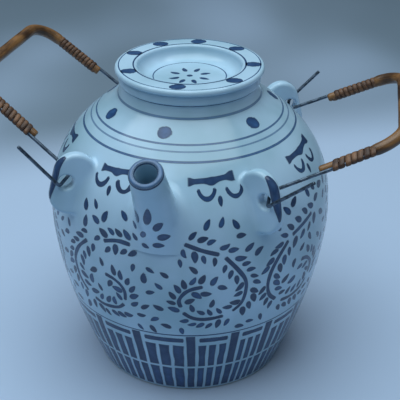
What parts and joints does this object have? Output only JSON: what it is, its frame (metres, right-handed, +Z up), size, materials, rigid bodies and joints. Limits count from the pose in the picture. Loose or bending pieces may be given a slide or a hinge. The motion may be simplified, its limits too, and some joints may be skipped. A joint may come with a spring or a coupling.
{
  "type": "teapot",
  "caption": "Large barrel teapot with dished lid, short straight spout, pierced ears and two swinging rattan bails on steel hook wires.",
  "frame": {"origin": "centre of the foot ring's resting face, on the pot's axis", "axes": "+Z up along the pot's axis, -Y the way the spout points, +X to the right seen from the spout"},
  "size_m": [0.2834, 0.2241, 0.2171],
  "materials": {
    "porcelain": "clear glossy glaze over a pale bluish white body, painted in cobalt blue",
    "steel_wire": "drawn steel wire, dulled and a little darkened",
    "rattan": "bent rattan, smooth and golden brown",
    "split_cane": "split cane wound in a close helix, brown-orange with dark gaps"
  },
  "bodies": {
    "pot": {"pot_body": "porcelain", "spout": "porcelain", "ear_front_left": "porcelain", "ear_front_right": "porcelain", "ear_back_left": "porcelain", "ear_back_right": "porcelain"},
    "lid": {"lid": "porcelain"},
    "left_bail": {"rattan_grip_left": "rattan", "hook_wire_left_front": "steel_wire", "hook_wire_left_back": "steel_wire", "cane_binding_left_front": "split_cane", "cane_binding_left_back": "split_cane"},
    "right_bail": {"rattan_grip_right": "rattan", "hook_wire_right_front": "steel_wire", "hook_wire_right_back": "steel_wire", "cane_binding_right_front": "split_cane", "cane_binding_right_back": "split_cane"}
  },
  "joints": [
    {"name": "lid_lift", "type": "slide", "parent": "pot", "child": "lid", "axis": [0, 0, 1], "range_m": [0, 0.08]},
    {"name": "left_bail_swing", "type": "hinge", "parent": "pot", "child": "left_bail", "pos_m": [-0.06109, 0.00374, 0.159], "axis": [0.061, 0.9981, 0], "range_deg": [0, 89]},
    {"name": "right_bail_swing", "type": "hinge", "parent": "pot", "child": "right_bail", "pos_m": [0.06109, 0.00374, 0.159], "axis": [0.061, -0.9981, 0], "range_deg": [0, 102]}
  ]
}
